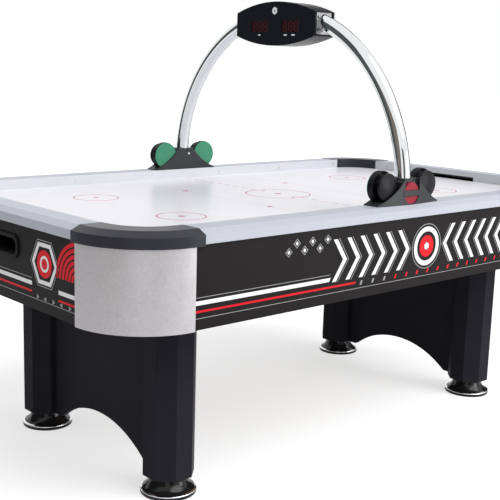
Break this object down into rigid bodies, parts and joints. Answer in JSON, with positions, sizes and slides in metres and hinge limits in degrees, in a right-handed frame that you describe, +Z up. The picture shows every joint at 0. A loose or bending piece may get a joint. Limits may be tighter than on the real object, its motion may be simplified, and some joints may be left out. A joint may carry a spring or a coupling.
{
  "type": "air hockey table",
  "caption": "Air hockey table with rounded corners, leg panels on levelling feet, and a tubular arch that carries a score display and mallet holders.",
  "frame": {"origin": "centre of the floor footprint", "axes": "+X along the table, +Y across it, +Z up"},
  "size_m": [2.138, 1.228, 1.421],
  "materials": {
    "apron_black": "printed black laminate on board, satin",
    "corner_silver": "textured silver moulding",
    "cap_charcoal": "fine grained charcoal moulding",
    "leg_black": "black laminate on board, satin",
    "foot_gloss": "gloss black moulding",
    "mallet_black": "gloss black moulding",
    "felt_green": "green felt",
    "rail_grey": "light grey laminate on board, satin",
    "strip_alu": "satin extruded strip",
    "screw_steel": "zinc plated heads",
    "field_white": "gloss white laminate with fine air holes and printed lines",
    "board_raw": "raw fibreboard",
    "box_black": "black moulding",
    "motor_steel": "zinc plated can",
    "impeller_grey": "moulded grey",
    "tube_chrome": "polished chrome plate",
    "bracket_grey": "dark grey moulding",
    "puck_red": "red moulding",
    "scorer_black": "gloss black moulding",
    "window_dark": "dark red display window",
    "plate_steel": "bright plate"
  },
  "bodies": {
    "table": {"side_apron_near": "apron_black", "side_apron_far": "apron_black", "end_apron_left": "apron_black", "end_apron_right": "apron_black", "corner_panel_near_left": "corner_silver", "corner_cap_near_left": "cap_charcoal", "leg_post_near_left": "leg_black", "corner_panel_near_right": "corner_silver", "corner_cap_near_right": "cap_charcoal", "leg_post_near_right": "leg_black", "corner_panel_far_left": "corner_silver", "corner_cap_far_left": "cap_charcoal", "leg_post_far_left": "leg_black", "corner_panel_far_right": "corner_silver", "corner_cap_far_right": "cap_charcoal", "leg_post_far_right": "leg_black", "side_rail_near": "rail_grey", "side_rail_far": "rail_grey", "end_rail_left": "rail_grey", "end_rail_right": "rail_grey", "side_strip_near": "strip_alu", "side_strip_far": "strip_alu", "end_strip_left": "strip_alu", "end_strip_right": "strip_alu", "strip_screws": "screw_steel", "playfield": "field_white", "plenum_frame": "board_raw", "plenum_floor": "board_raw", "return_box_left": "box_black", "return_box_right": "box_black", "return_bezel_left": "box_black", "return_bezel_right": "box_black", "blower_drum": "box_black", "blower_grille": "box_black", "power_inlet": "box_black", "blower_motor": "motor_steel", "leg_panel_left": "leg_black", "leg_panel_right": "leg_black", "arch_tube": "tube_chrome", "arch_bracket_near": "bracket_grey", "arch_bracket_far": "bracket_grey", "scorer_shell": "scorer_black", "scorer_face_left": "scorer_black", "scorer_face_right": "scorer_black", "score_windows": "window_dark", "scorer_end_plates": "plate_steel"},
    "foot_near_left": {"leveller_foot_near_left": "foot_gloss"},
    "foot_near_right": {"leveller_foot_near_right": "foot_gloss"},
    "foot_far_left": {"leveller_foot_far_left": "foot_gloss"},
    "foot_far_right": {"leveller_foot_far_right": "foot_gloss"},
    "mallet_body_near_left": {"mallet_near_left": "mallet_black", "mallet_felt_near_left": "felt_green"},
    "mallet_body_near_right": {"mallet_near_right": "mallet_black", "mallet_felt_near_right": "felt_green"},
    "mallet_body_far_left": {"mallet_far_left": "mallet_black", "mallet_felt_far_left": "felt_green"},
    "mallet_body_far_right": {"mallet_far_right": "mallet_black", "mallet_felt_far_right": "felt_green"},
    "puck_body": {"puck": "puck_red"},
    "fan": {"blower_impeller": "impeller_grey"}
  },
  "joints": [
    {"name": "foot_screw_near_left", "type": "slide", "parent": "table", "child": "foot_near_left", "axis": [0, 0, -1], "range_m": [0, 0.02]},
    {"name": "foot_screw_near_right", "type": "slide", "parent": "table", "child": "foot_near_right", "axis": [0, 0, -1], "range_m": [0, 0.02]},
    {"name": "foot_screw_far_left", "type": "slide", "parent": "table", "child": "foot_far_left", "axis": [0, 0, -1], "range_m": [0, 0.02]},
    {"name": "foot_screw_far_right", "type": "slide", "parent": "table", "child": "foot_far_right", "axis": [0, 0, -1], "range_m": [0, 0.02]},
    {"name": "mallet_lift_near_left", "type": "slide", "parent": "table", "child": "mallet_body_near_left", "axis": [0, 0, 1], "range_m": [0, 0.14]},
    {"name": "mallet_lift_near_right", "type": "slide", "parent": "table", "child": "mallet_body_near_right", "axis": [0, 0, 1], "range_m": [0, 0.14]},
    {"name": "mallet_lift_far_left", "type": "slide", "parent": "table", "child": "mallet_body_far_left", "axis": [0, 0, 1], "range_m": [0, 0.14]},
    {"name": "mallet_lift_far_right", "type": "slide", "parent": "table", "child": "mallet_body_far_right", "axis": [0, 0, 1], "range_m": [0, 0.14]},
    {"name": "puck_lift", "type": "slide", "parent": "table", "child": "puck_body", "axis": [0, 0, 1], "range_m": [0, 0.1]},
    {"name": "fan_spin", "type": "hinge", "parent": "table", "child": "fan", "pos_m": [0, 0, 0.69], "axis": [0, 0, 1], "continuous": true}
  ]
}
